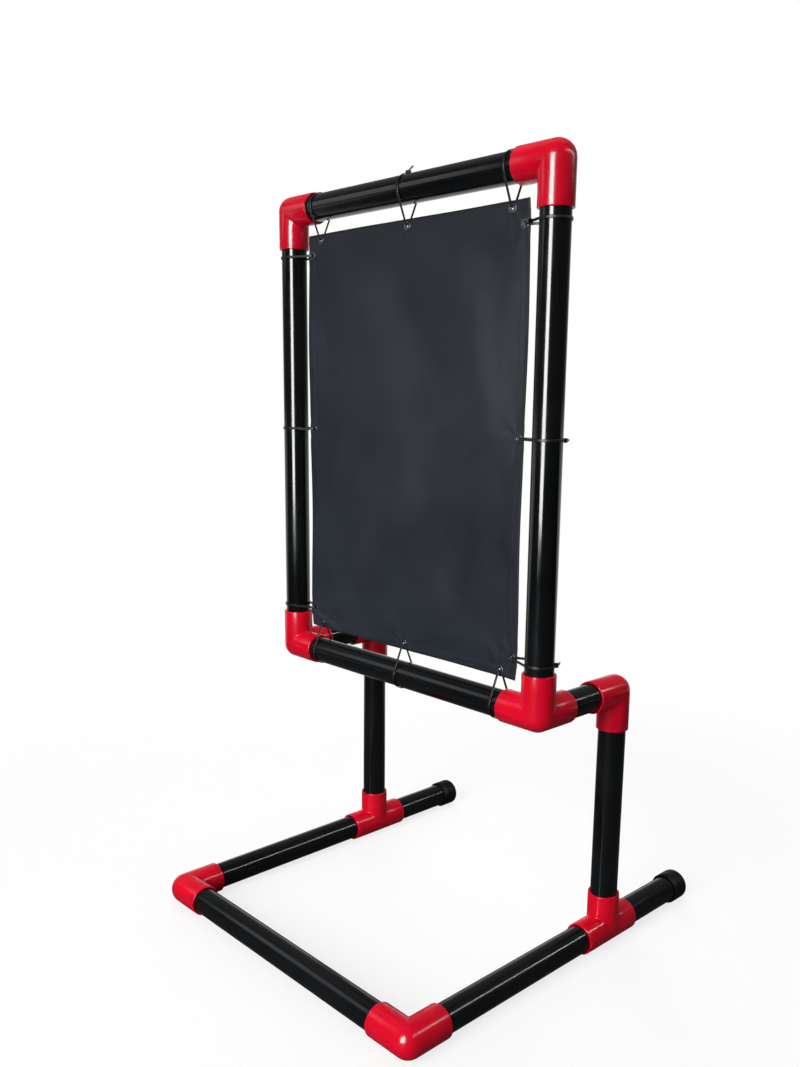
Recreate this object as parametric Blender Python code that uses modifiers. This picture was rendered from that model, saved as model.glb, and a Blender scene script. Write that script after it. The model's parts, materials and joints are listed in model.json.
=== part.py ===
"""Pitching target for baseball practice: a sheet tied into an upright pipe frame, on a pipe stand.

The thrower stands in front of it, at -Y. X runs along the target's width and Z is up. The pipes push
into moulded elbows, tees and three-way corners, and the sheet hangs from looped ties that pass through
its eyelets. The origin is on the floor, under the middle of the object. All sizes are in metres.
"""

import math

import bmesh
import bpy
from mathutils import Matrix, Vector

# Pipe and its sockets
PIPE_DIAMETER = 0.040
PIPE_WALL = 0.0025
SOCKET_CLEARANCE = 0.0003
SOCKET_WALL = 0.0034
SOCKET_DEPTH = 0.034
SHOULDER_DISTANCE = 0.023  # a fitting's centre to the shoulder that a pipe's end butts against
PIPE_END_GAP = 0.0003
RIM_CHAMFER = 0.0012
CAP_DEPTH = 0.030
CAP_END_WALL = 0.004
CAP_EDGE_RADIUS = 0.007

# Stand and frame, between the axes of the pipes
FRAME_WIDTH = 0.526
FRAME_HEIGHT = 0.696
LEG_HEIGHT = 0.372  # the floor rails up to the frame's bottom pipe
STUB_REACH = 0.172  # the frame back to the legs
FRONT_REACH = 0.231  # the frame forward to the front cross pipe
BACK_REACH = 0.200  # the legs back to the ends of the rear pipes

# Sheet
SHEET_MARGIN = 0.039  # a frame pipe's axis to the sheet's edge
SHEET_THICKNESS = 0.0012
SHEET_COLUMNS = 12
SHEET_ROWS = 16
BELLY_DEPTH = 0.006
FLAT_BORDER = 0.018  # the edge strip that the eyelets hold flat
BELLY_FADE = 0.060  # the width inside the border over which the folds reach their depth
FOLD_COUNT = 1.6  # soft upright folds across the width
FOLD_LEAN = 0.9  # how far the folds lean over the height, in folds
FLAP_WIDTH = 0.026  # the bent corner, along the bottom edge
FLAP_HEIGHT = 0.022  # the bent corner, along the side edge
FLAP_BEND_RADIUS = 0.012
FLAP_TURN = math.radians(28)

# Eyelets and ties
EYELET_INSET = 0.009  # an eyelet's centre to the sheet's edge
EYELET_BORE_RADIUS = 0.0036
EYELET_BARREL_WALL = 0.0004
EYELET_FLANGE_WIDTH = 0.0026
EYELET_FLANGE_THICKNESS = 0.0005
EYELET_CLEARANCE = 0.0003
TIE_WIDTH = 0.0036
TIE_THICKNESS = 0.0011
TIE_PIPE_GAP = 0.0005
TIE_BEND_RADIUS = 0.004  # where the strap turns through the eyelet
TIE_SLACK = 0.0015  # an eyelet's centre to the middle of the strap, towards the pipe
TIE_HEAD_LENGTH = 0.006
TIE_HEAD_WIDTH = 0.0058
TIE_HEAD_HEIGHT = 0.0044
TIE_TAIL_LENGTH = 0.009
TIE_TAIL_WIDTH = 0.0032
CORNER_TIE_OFFSET = 0.069  # the outer ties, from the axis of the next frame pipe
SIDE_TIE_RISE = 0.014  # the middle side ties, above the frame's middle
# Where a tie's head sits, as a share of its loop from the eyelet by way of the front, and its tail's
# angle to the strap. Most heads sit behind the pipe.
TIE_HEAD_BEHIND = (0.62, math.radians(-20))
TIE_HEADS = {
    ("top", "mid"): (0.53, math.radians(-45)),
    ("left", "mid"): (0.10, math.radians(-30)),
    ("right", "high"): (0.14, math.radians(-30)),
}

# Facets of the round shapes: a pipe or a fitting has a multiple of four, so that one faces straight down
PIPE_SIDES = 20
EYELET_SIDES = 10
TIE_PIPE_STEPS = 12
TIE_BEND_STEPS = 6
CAP_EDGE_STEPS = 3
FLAP_BEND_STEPS = 3

# Small laps and tolerances of joined and cut shapes
JOIN_LAP = 0.0001
CUT_LAP = 0.001
MERGE_DISTANCE = 0.00001
GRID_PLACES = 7  # the decimals of a point on the fine grid
FLAT_ANGLE = math.radians(0.1)
SMOOTH_ANGLE = math.radians(35)

PIPE_RADIUS = PIPE_DIAMETER / 2
PIPE_BORE_RADIUS = PIPE_RADIUS - PIPE_WALL
SOCKET_RADIUS = PIPE_RADIUS + SOCKET_CLEARANCE
FITTING_RADIUS = SOCKET_RADIUS + SOCKET_WALL
FITTING_REACH = SHOULDER_DISTANCE + SOCKET_DEPTH
# Half the height across the flats of a fitting, which lies with a flat facet down
FITTING_FLAT = FITTING_RADIUS * math.cos(math.pi / PIPE_SIDES)
CAP_LENGTH = CAP_DEPTH + CAP_END_WALL
CAP_FACE_REACH = BACK_REACH + PIPE_END_GAP + CAP_END_WALL

X_AXIS = Vector((1, 0, 0))
Y_AXIS = Vector((0, 1, 0))
Z_AXIS = Vector((0, 0, 1))

RAIL_HEIGHT = FITTING_FLAT
BOTTOM_HEIGHT = RAIL_HEIGHT + LEG_HEIGHT
TOP_HEIGHT = BOTTOM_HEIGHT + FRAME_HEIGHT
HALF_WIDTH = FRAME_WIDTH / 2
# The frame's plane, so that the object's middle from front to back is at Y = 0
FRAME_Y = (FRONT_REACH + FITTING_FLAT - STUB_REACH - CAP_FACE_REACH) / 2
LEG_Y = FRAME_Y + STUB_REACH
FRONT_Y = FRAME_Y - FRONT_REACH
MIDDLE_HEIGHT = (BOTTOM_HEIGHT + TOP_HEIGHT) / 2

EYELET_REACH = SHEET_MARGIN + EYELET_INSET
TIE_REACH = EYELET_REACH - TIE_SLACK
EYELET_BARREL_RADIUS = EYELET_BORE_RADIUS + EYELET_BARREL_WALL
EYELET_FLANGE_RADIUS = EYELET_BARREL_RADIUS + EYELET_FLANGE_WIDTH
SHEET_HOLE_RADIUS = EYELET_BARREL_RADIUS + EYELET_CLEARANCE
# Where the bend of the corner starts, from the corner that the flat sheet would have
BEND_DISTANCE = FLAP_WIDTH * FLAP_HEIGHT / math.hypot(FLAP_WIDTH, FLAP_HEIGHT)
BEND_LENGTH = FLAP_BEND_RADIUS * FLAP_TURN

SIDES = (("left", -1), ("right", 1))


def clear_scene():
    """Removes the scene's objects."""
    for item in list(bpy.data.objects):
        bpy.data.objects.remove(item, do_unlink=True)


def collection(name, hidden=False):
    """A new collection in the scene."""
    made = bpy.data.collections.new(name)
    made.hide_render = hidden
    bpy.context.scene.collection.children.link(made)
    return made


def material(name, color, roughness, metallic=0.0):
    """A plain surface finish."""
    made = bpy.data.materials.new(name)
    made.use_nodes = True
    shader = made.node_tree.nodes["Principled BSDF"]
    shader.inputs["Base Color"].default_value = (*color, 1.0)
    shader.inputs["Roughness"].default_value = roughness
    shader.inputs["Metallic"].default_value = metallic
    return made


def evaluated_mesh(item):
    """A new mesh of an object with its modifiers applied."""
    graph = bpy.context.evaluated_depsgraph_get()
    return bpy.data.meshes.new_from_object(item.evaluated_get(graph))


def helper(name, mesh):
    """A shape that only cuts or joins others."""
    item = bpy.data.objects.new(name, mesh)
    item.hide_render = True
    item.display_type = "WIRE"
    HELPERS.objects.link(item)
    return item


def remove_helpers():
    """Removes the helper shapes once the meshes that need them are made."""
    for item in list(HELPERS.objects):
        bpy.data.objects.remove(item, do_unlink=True)


def turned(name, profile, sides, closed=False):
    """A mesh turned about Z from (radius, height) points, with the middle of a facet at +X."""
    mesh = bpy.data.meshes.new(name)
    lines = [(i, i + 1) for i in range(len(profile) - 1)]
    if closed:
        lines.append((len(profile) - 1, 0))
    mesh.from_pydata([(radius, 0, height) for radius, height in profile], lines, [])
    item = helper(name, mesh)
    screw = item.modifiers.new("Turn", "SCREW")
    screw.axis = "Z"
    screw.steps = sides
    screw.render_steps = sides
    screw.use_merge_vertices = True
    screw.merge_threshold = MERGE_DISTANCE
    made = evaluated_mesh(item)
    made.transform(Matrix.Rotation(math.pi / sides, 4, "Z"))
    bpy.data.objects.remove(item, do_unlink=True)
    return made


def snapped(point):
    """A point set on the fine grid."""
    return Vector([round(value, GRID_PLACES) for value in point])


def turned_along(mesh, direction):
    """A mesh that was made along Z, turned to lie along a direction, with its points on the fine grid."""
    across = Y_AXIS if abs(direction.x) > 0.5 else X_AXIS
    mesh.transform(turn_to(across, direction).to_4x4())
    for vertex in mesh.vertices:
        vertex.co = snapped(vertex.co)
    return mesh


def merge_flats(mesh):
    """Joins faces that lie in one plane, so that a cut shape has no more facets than it needs."""
    shape = bmesh.new()
    shape.from_mesh(mesh)
    bmesh.ops.dissolve_limit(shape, angle_limit=FLAT_ANGLE, verts=shape.verts, edges=shape.edges)
    shape.to_mesh(mesh)
    shape.free()


def turn_to(first, up):
    """The turn that takes +X to first and +Z to up."""
    return Matrix((first, up.cross(first), up)).transposed()


def boolean(item, other, operation):
    """Joins another shape to an object, or cuts it away."""
    step = item.modifiers.new(operation.title(), "BOOLEAN")
    step.operation = operation
    step.object = other
    step.solver = "EXACT"


def finish_mesh(mesh, name, finish):
    """Names a mesh, gives it its finish and shades its round faces smooth."""
    mesh.name = name
    mesh.materials.clear()
    mesh.materials.append(finish)
    mesh.shade_smooth()
    mesh.set_sharp_from_angle(angle=SMOOTH_ANGLE)
    return mesh


def place(name, mesh, body, location, turn=None):
    """Adds a named piece to a body, where its own frame lies in the world."""
    item = bpy.data.objects.new(name, mesh)
    PARTS.objects.link(item)
    if turn is not None:
        item.rotation_euler = turn.to_euler()
    item.parent = body
    item.location = Vector(location) - body.location
    return item


def body_empty(name, location):
    """The parent of the pieces that move together, on their joint's axis."""
    empty = bpy.data.objects.new(name, None)
    empty.empty_display_size = PIPE_DIAMETER
    empty.location = location
    PARTS.objects.link(empty)
    return empty


def tube_mesh(length):
    """A pipe along Z, centred on its middle."""
    end = length / 2
    profile = (
        (PIPE_RADIUS, end),
        (PIPE_RADIUS, -end),
        (PIPE_BORE_RADIUS, -end),
        (PIPE_BORE_RADIUS, end),
    )
    return turned("pipe", profile, PIPE_SIDES, closed=True)


def add_pipe(name, body, start, end):
    """A pipe between two points on its axis."""
    start = Vector(start)
    end = Vector(end)
    along = (end - start).normalized()
    across = X_AXIS if abs(along.x) < 0.5 else Y_AXIS
    mesh = finish_mesh(tube_mesh((end - start).length), name, PIPE_FINISH)
    return place(name, mesh, body, (start + end) / 2, turn_to(across, along))


def add_pipe_between(name, body, first, second):
    """A pipe pushed home in the sockets of two fittings, given by the fittings' centres."""
    first = Vector(first)
    second = Vector(second)
    inset = (second - first).normalized() * (SHOULDER_DISTANCE + PIPE_END_GAP)
    return add_pipe(name, body, first + inset, second - inset)


def arm_mesh(through):
    """The outside of one socket arm along Z, or of two in line."""
    upper = [
        (0, FITTING_REACH),
        (FITTING_RADIUS - RIM_CHAMFER, FITTING_REACH),
        (FITTING_RADIUS, FITTING_REACH - RIM_CHAMFER),
    ]
    if through:
        lower = [(radius, -height) for radius, height in reversed(upper)]
    else:
        lower = [(FITTING_RADIUS, 0), (0, 0)]
    return turned("arm", upper + lower, PIPE_SIDES)


def bore_mesh(through):
    """The socket, its shoulder and the passage behind it, along Z, or two in line."""
    mouth = FITTING_REACH + CUT_LAP
    upper = [
        (0, mouth),
        (SOCKET_RADIUS, mouth),
        (SOCKET_RADIUS, SHOULDER_DISTANCE),
        (PIPE_BORE_RADIUS, SHOULDER_DISTANCE),
    ]
    if through:
        lower = [(radius, -height) for radius, height in reversed(upper)]
    else:
        passage_end = -PIPE_BORE_RADIUS / 2
        lower = [(PIPE_BORE_RADIUS, passage_end), (0, passage_end)]
    return turned("bore", upper + lower, PIPE_SIDES)


def ball_points():
    """The points of a ball whose sections across X and Z match the ends of the arms there."""
    profile = []
    rings = PIPE_SIDES // 2
    for ring in range(rings):
        angle = math.pi * (0.5 - (ring + 0.5) / rings)
        profile.append((FITTING_RADIUS * math.cos(angle), FITTING_RADIUS * math.sin(angle)))
    ball = turned("ball", profile, PIPE_SIDES)
    ball.transform(Matrix.Rotation(math.pi / PIPE_SIDES, 4, "Z"))
    ball.transform(turn_to(X_AXIS, Y_AXIS).to_4x4())
    return [vertex.co.copy() for vertex in ball.vertices]


def knuckle_mesh(arms):
    """The rounded heel where the arms of a fitting meet: the hull of their ends and the ball behind them."""
    points = [p for p in ball_points() if all(p.dot(direction) < JOIN_LAP for direction, _ in arms)]
    for direction, through in arms:
        arm = turned_along(arm_mesh(through), direction)
        points += [vertex.co for vertex in arm.vertices if abs(vertex.co.dot(direction)) < JOIN_LAP]
    shape = bmesh.new()
    for point in points:
        shape.verts.new(snapped(point))
    bmesh.ops.remove_doubles(shape, verts=shape.verts, dist=MERGE_DISTANCE)
    hull = bmesh.ops.convex_hull(shape, input=shape.verts)
    bmesh.ops.delete(shape, geom=[v for v in hull["geom_interior"] if isinstance(v, bmesh.types.BMVert)])
    bmesh.ops.recalc_face_normals(shape, faces=shape.faces)
    mesh = bpy.data.meshes.new("knuckle")
    shape.to_mesh(mesh)
    shape.free()
    return mesh


def fitting_mesh(name, arms, rounded):
    """A moulded fitting from its arms, each a direction and whether it runs through to the other side.

    The arms' facets share planes, so every point is set on a fine grid, where what coincides does so
    exactly.
    """
    shells = [helper("arm", turned_along(arm_mesh(through), direction)) for direction, through in arms]
    if rounded:
        shells.append(helper("knuckle", knuckle_mesh(arms)))
    shell = shells[0]
    for other in shells[1:]:
        boolean(shell, other, "UNION")
    for direction, through in arms:
        bore = helper("bore", turned_along(bore_mesh(through), direction))
        boolean(shell, bore, "DIFFERENCE")
    bpy.context.view_layer.update()
    mesh = evaluated_mesh(shell)
    remove_helpers()
    merge_flats(mesh)
    return finish_mesh(mesh, name, FITTING_FINISH)


def cap_mesh():
    """An end cap pushed over a pipe along Z: its mouth is at zero and its closed end is up."""
    profile = [(0, CAP_LENGTH)]
    for step in range(CAP_EDGE_STEPS + 1):
        angle = math.pi / 2 * (1 - step / CAP_EDGE_STEPS)
        radius = FITTING_RADIUS - CAP_EDGE_RADIUS * (1 - math.cos(angle))
        profile.append((radius, CAP_LENGTH - CAP_EDGE_RADIUS * (1 - math.sin(angle))))
    profile += [(FITTING_RADIUS, 0), (SOCKET_RADIUS, 0), (SOCKET_RADIUS, CAP_DEPTH), (0, CAP_DEPTH)]
    return finish_mesh(turned("end_cap", profile, PIPE_SIDES), "end_cap", CAP_FINISH)


def eyelet_mesh():
    """A pressed eyelet along Z: a barrel through the sheet with a flange on each face."""
    grip = SHEET_THICKNESS / 2 + EYELET_CLEARANCE
    end = grip + EYELET_FLANGE_THICKNESS
    profile = (
        (EYELET_BORE_RADIUS, end),
        (EYELET_FLANGE_RADIUS, end),
        (EYELET_FLANGE_RADIUS, grip),
        (EYELET_BARREL_RADIUS, grip),
        (EYELET_BARREL_RADIUS, -grip),
        (EYELET_FLANGE_RADIUS, -grip),
        (EYELET_FLANGE_RADIUS, -end),
        (EYELET_BORE_RADIUS, -end),
    )
    return finish_mesh(turned("eyelet", profile, EYELET_SIDES, closed=True), "eyelet", EYELET_FINISH)


def strap_loop(offset):
    """The points of a tie's loop, round a pipe at the origin and through an eyelet at +X.

    The loop is a belt round two circles. An offset moves it outwards from the middle of the strap.
    """
    pipe_radius = PIPE_RADIUS + TIE_PIPE_GAP + TIE_THICKNESS / 2
    bend_centre = TIE_REACH - TIE_BEND_RADIUS
    tangent = math.asin((pipe_radius - TIE_BEND_RADIUS) / bend_centre)
    quarter = math.pi / 2
    points = []
    for step in range(TIE_BEND_STEPS + 1):
        angle = (quarter - tangent) * (2 * step / TIE_BEND_STEPS - 1)
        radius = TIE_BEND_RADIUS + offset
        points.append(Vector((bend_centre + radius * math.cos(angle), radius * math.sin(angle), 0)))
    for step in range(TIE_PIPE_STEPS + 1):
        angle = quarter - tangent + 2 * (quarter + tangent) * step / TIE_PIPE_STEPS
        radius = pipe_radius + offset
        points.append(Vector((radius * math.cos(angle), radius * math.sin(angle), 0)))
    return points


def point_along(points, share):
    """The point and the direction at a share of the way round a closed line of points."""
    lengths = [(points[(i + 1) % len(points)] - points[i]).length for i in range(len(points))]
    left = share * sum(lengths)
    for i, length in enumerate(lengths):
        if left <= length:
            direction = (points[(i + 1) % len(points)] - points[i]).normalized()
            return points[i] + direction * left, direction
        left -= length
    return points[0], (points[1] - points[0]).normalized()


def block(name, size, centre, forward):
    """A box with its length along a direction in the XY plane."""
    mesh = bpy.data.meshes.new(name)
    shape = bmesh.new()
    turn = turn_to(forward, Z_AXIS).to_4x4()
    matrix = Matrix.Translation(centre) @ turn @ Matrix.Diagonal((*size, 1))
    bmesh.ops.create_cube(shape, size=1, matrix=matrix)
    shape.to_mesh(mesh)
    shape.free()
    return helper(name, mesh)


def strap_mesh():
    """The loop as a flat strap, an outline with a hole, extruded to the strap's width."""
    curve = bpy.data.curves.new("strap", "CURVE")
    curve.dimensions = "2D"
    curve.fill_mode = "BOTH"
    curve.extrude = TIE_WIDTH / 2
    for offset in (TIE_THICKNESS / 2, -TIE_THICKNESS / 2):
        points = strap_loop(offset)
        line = curve.splines.new("POLY")
        line.points.add(len(points) - 1)
        for target, point in zip(line.points, points):
            target.co = (*point, 1)
        line.use_cyclic_u = True
    item = bpy.data.objects.new("strap", curve)
    HELPERS.objects.link(item)
    mesh = evaluated_mesh(item)
    bpy.data.objects.remove(item, do_unlink=True)
    shape = bmesh.new()
    shape.from_mesh(mesh)
    bmesh.ops.remove_doubles(shape, verts=shape.verts, dist=MERGE_DISTANCE)
    bmesh.ops.recalc_face_normals(shape, faces=shape.faces)
    shape.to_mesh(mesh)
    shape.free()
    return mesh


def tie_mesh(name, head_share, tail_turn):
    """A looped tie with its locking head and trimmed tail.

    The head sits at a share of the way round the loop, counted from the eyelet, and the tail leaves it at
    an angle to the strap.
    """
    tie = helper("tie", strap_mesh())
    seat, forward = point_along(strap_loop(0), head_share)
    outward = Vector((forward.y, -forward.x, 0))
    head_lift = TIE_HEAD_HEIGHT / 2 - TIE_THICKNESS / 2 + JOIN_LAP
    head_centre = seat + outward * head_lift
    head_size = (TIE_HEAD_LENGTH, TIE_HEAD_HEIGHT, TIE_HEAD_WIDTH)
    boolean(tie, block("head", head_size, head_centre, forward), "UNION")
    tail_forward = Matrix.Rotation(tail_turn, 3, "Z") @ forward
    tail_start = head_centre + outward * (TIE_HEAD_HEIGHT / 4)
    tail_size = (TIE_TAIL_LENGTH + TIE_HEAD_LENGTH / 2, TIE_THICKNESS, TIE_TAIL_WIDTH)
    tail_centre = tail_start + tail_forward * (tail_size[0] / 2)
    boolean(tie, block("tail", tail_size, tail_centre, tail_forward), "UNION")
    bpy.context.view_layer.update()
    mesh = evaluated_mesh(tie)
    remove_helpers()
    return finish_mesh(mesh, name, TIE_FINISH)


def smooth_rise(share):
    """Zero up to 0, one from 1, and a smooth rise between."""
    share = min(max(share, 0), 1)
    return share * share * (3 - 2 * share)


def belly(across, up, half_width, half_height):
    """How far the sheet stands off its plane: soft leaning folds that fade towards the tied edges."""
    side_fade = smooth_rise((half_width - FLAT_BORDER - abs(across)) / BELLY_FADE)
    end_fade = smooth_rise((half_height - FLAT_BORDER - abs(up)) / BELLY_FADE)
    phase = math.pi * (FOLD_COUNT * across / half_width + FOLD_LEAN * up / half_height)
    return BELLY_DEPTH * side_fade * end_fade * math.sin(phase)


def bent(point, corner, inward):
    """A point of the sheet, bent backwards if it lies on the flap at the corner."""
    past = BEND_DISTANCE - (point - corner).dot(inward)
    if past <= 0:
        return point
    angle = min(past / FLAP_BEND_RADIUS, FLAP_TURN)
    straight = max(past - BEND_LENGTH, 0)
    along = FLAP_BEND_RADIUS * math.sin(angle) + straight * math.cos(angle)
    back = FLAP_BEND_RADIUS * (1 - math.cos(angle)) + straight * math.sin(angle)
    return point + inward * (past - along) + Y_AXIS * back


def sheet_surface():
    """The sheet's middle surface in the XZ plane, with its folds and its bent corner."""
    half_width = HALF_WIDTH - SHEET_MARGIN
    half_height = FRAME_HEIGHT / 2 - SHEET_MARGIN
    corner = Vector((-half_width, 0, -half_height))
    inward = Vector((FLAP_HEIGHT, 0, FLAP_WIDTH)).normalized()
    shape = bmesh.new()
    matrix = Matrix.Rotation(math.pi / 2, 4, "X") @ Matrix.Diagonal((half_width, half_height, 1, 1))
    bmesh.ops.create_grid(
        shape, x_segments=SHEET_COLUMNS, y_segments=SHEET_ROWS, size=1, matrix=matrix
    )
    # Lines along the flap's bend, and along the flat border, where the surface starts to bend
    lines = []
    for step in range(FLAP_BEND_STEPS + 1):
        past = BEND_LENGTH * step / FLAP_BEND_STEPS
        lines.append((corner + inward * (BEND_DISTANCE - past), inward))
    for sign in (-1, 1):
        lines.append((X_AXIS * sign * (half_width - FLAT_BORDER), X_AXIS))
        lines.append((Z_AXIS * sign * (half_height - FLAT_BORDER), Z_AXIS))
    for point, normal in lines:
        geometry = shape.verts[:] + shape.edges[:] + shape.faces[:]
        bmesh.ops.bisect_plane(shape, geom=geometry, dist=MERGE_DISTANCE, plane_co=point, plane_no=normal)
    for vertex in shape.verts:
        stand_off = belly(vertex.co.x, vertex.co.z, half_width, half_height)
        vertex.co = bent(vertex.co, corner, inward) + Y_AXIS * stand_off
    mesh = bpy.data.meshes.new("sheet")
    shape.to_mesh(mesh)
    shape.free()
    return mesh


def sheet_mesh(holes):
    """The sheet round its middle, with a hole at each of the places given."""
    sheet = helper("sheet", sheet_surface())
    thicken = sheet.modifiers.new("Thickness", "SOLIDIFY")
    thicken.thickness = SHEET_THICKNESS
    thicken.offset = 0
    end = SHEET_THICKNESS / 2 + CUT_LAP
    profile = ((0, end), (SHEET_HOLE_RADIUS, end), (SHEET_HOLE_RADIUS, -end), (0, -end))
    for centre in holes:
        hole = helper("hole", turned("hole", profile, EYELET_SIDES))
        hole.matrix_world = Matrix.Translation(centre) @ Matrix.Rotation(math.pi / 2, 4, "X")
        boolean(sheet, hole, "DIFFERENCE")
    bpy.context.view_layer.update()
    made = evaluated_mesh(sheet)
    remove_helpers()
    return finish_mesh(made, "target_sheet", SHEET_FINISH)


def tie_places():
    """Each edge's name, pipe direction, way from the pipe to the sheet, pipe centre and tie positions.

    The centre is taken from the middle of the frame, and the positions along the pipe from that centre.
    """
    outer = HALF_WIDTH - CORNER_TIE_OFFSET
    upper = FRAME_HEIGHT / 2 - CORNER_TIE_OFFSET
    across = (("left", -outer), ("mid", 0), ("right", outer))
    upward = (("low", -upper), ("mid", SIDE_TIE_RISE), ("high", upper))
    half_height = FRAME_HEIGHT / 2
    return (
        ("top", X_AXIS, -Z_AXIS, Z_AXIS * half_height, across),
        ("bottom", X_AXIS, Z_AXIS, -Z_AXIS * half_height, across),
        ("left", Z_AXIS, X_AXIS, -X_AXIS * HALF_WIDTH, upward),
        ("right", Z_AXIS, -X_AXIS, X_AXIS * HALF_WIDTH, upward),
    )


def build_base():
    """The floor frame: the front cross pipe, its elbows, the front rails and the tees under the legs."""
    body = body_empty("base", (0, FRONT_Y, RAIL_HEIGHT))
    front = {side: Vector((sign * HALF_WIDTH, FRONT_Y, RAIL_HEIGHT)) for side, sign in SIDES}
    add_pipe_between("front_cross_pipe", body, front["left"], front["right"])
    for side, sign in SIDES:
        tee = Vector((sign * HALF_WIDTH, LEG_Y, RAIL_HEIGHT))
        # The elbow's first arm is turned so that its second, up arm points back along the rail
        place(f"front_elbow_{side}", ELBOW, body, front[side], turn_to(-X_AXIS * sign, Y_AXIS))
        add_pipe_between(f"front_rail_pipe_{side}", body, front[side], tee)
        place(f"floor_tee_{side}", TEE, body, tee, turn_to(Y_AXIS, Z_AXIS))


def build_rear_rails():
    """The pipes behind the tees, and their end caps."""
    for side, sign in SIDES:
        tee = Vector((sign * HALF_WIDTH, LEG_Y, RAIL_HEIGHT))
        start = tee + Y_AXIS * (SHOULDER_DISTANCE + PIPE_END_GAP)
        end = tee + Y_AXIS * BACK_REACH
        rail = body_empty(f"rear_rail_{side}", tee)
        add_pipe(f"rear_rail_pipe_{side}", rail, start, end)
        mouth = end + Y_AXIS * (PIPE_END_GAP - CAP_DEPTH)
        cap = body_empty(f"cap_{side}", mouth)
        place(f"end_cap_{side}", CAP, cap, mouth, turn_to(X_AXIS, Y_AXIS))


def build_stand():
    """The two legs and the elbows on top of them, which lift out of the tees together."""
    body = body_empty("stand", (0, LEG_Y, RAIL_HEIGHT))
    for side, sign in SIDES:
        tee = Vector((sign * HALF_WIDTH, LEG_Y, RAIL_HEIGHT))
        elbow = tee + Z_AXIS * LEG_HEIGHT
        add_pipe_between(f"leg_pipe_{side}", body, tee, elbow)
        place(f"leg_elbow_{side}", ELBOW, body, elbow, turn_to(-Y_AXIS, -Z_AXIS))


def build_target_frame():
    """The upright frame round the sheet, with the stubs that carry it on the leg elbows."""
    body = body_empty("target_frame", (0, FRAME_Y, BOTTOM_HEIGHT))
    low = {side: Vector((sign * HALF_WIDTH, FRAME_Y, BOTTOM_HEIGHT)) for side, sign in SIDES}
    high = {side: low[side] + Z_AXIS * FRAME_HEIGHT for side, _ in SIDES}
    add_pipe_between("frame_pipe_bottom", body, low["left"], low["right"])
    add_pipe_between("frame_pipe_top", body, high["left"], high["right"])
    place("frame_corner_left", CORNER, body, low["left"], turn_to(X_AXIS, Z_AXIS))
    place("frame_corner_right", CORNER, body, low["right"], turn_to(Y_AXIS, Z_AXIS))
    for side, sign in SIDES:
        place(f"frame_elbow_{side}", ELBOW, body, high[side], turn_to(-X_AXIS * sign, -Z_AXIS))
        add_pipe_between(f"frame_pipe_{side}", body, low[side], high[side])
        add_pipe_between(f"stub_pipe_{side}", body, low[side], low[side] + Y_AXIS * STUB_REACH)


def build_target():
    """The sheet with its eyelets, and the ties along each edge, which swivel round that edge's pipe."""
    middle = Vector((0, FRAME_Y, MIDDLE_HEIGHT))
    sheet = body_empty("sheet", middle)
    eyelet = eyelet_mesh()
    holes = []
    for edge, along, toward, offset, places in tie_places():
        ties = body_empty(f"ties_{edge}", middle + offset)
        # The strap's width lies along the pipe, and the first half of its loop in front of it
        turn = turn_to(toward, Y_AXIS.cross(toward))
        for spot, position in places:
            tie = tie_mesh(f"tie_{edge}_{spot}", *TIE_HEADS.get((edge, spot), TIE_HEAD_BEHIND))
            place(f"tie_{edge}_{spot}", tie, ties, middle + offset + along * position, turn)
            hole = offset + along * position + toward * EYELET_REACH
            place(f"eyelet_{edge}_{spot}", eyelet, sheet, middle + hole, turn_to(X_AXIS, -Y_AXIS))
            holes.append(hole)
    place("target_sheet", sheet_mesh(holes), sheet, middle)


clear_scene()
PARTS = collection("pitching_target")
HELPERS = collection("cutters", hidden=True)

PIPE_FINISH = material("black_pipe", (0.012, 0.013, 0.014), 0.22)
FITTING_FINISH = material("red_fitting", (0.62, 0.006, 0.018), 0.2)
CAP_FINISH = material("black_cap", (0.014, 0.016, 0.017), 0.45)
SHEET_FINISH = material("black_sheet", (0.028, 0.032, 0.042), 0.5)
EYELET_FINISH = material("dark_eyelet", (0.1, 0.11, 0.13), 0.35, 1.0)
TIE_FINISH = material("black_tie", (0.01, 0.01, 0.011), 0.4)

ELBOW = fitting_mesh("elbow", ((X_AXIS, False), (Z_AXIS, False)), rounded=True)
CORNER = fitting_mesh("corner", ((X_AXIS, False), (Y_AXIS, False), (Z_AXIS, False)), rounded=True)
TEE = fitting_mesh("tee", ((X_AXIS, True), (Z_AXIS, False)), rounded=False)
CAP = cap_mesh()

build_base()
build_rear_rails()
build_stand()
build_target_frame()
build_target()
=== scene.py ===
"""Finishes a pitching target in a pipe frame: round pipes and moulded fittings, a tied sheet and a studio.

Each operator makes one kind of piece in the place of the plain solids that it stands for. The thrower
stands at -Y, X runs along the target's width and Z is up. Sizes are in metres.
"""

import json
import math

import bmesh
import bpy
from bpy.props import FloatProperty, FloatVectorProperty, IntProperty, PointerProperty
from bpy.types import Operator, Panel, PropertyGroup
from mathutils import Matrix, Vector

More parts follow.
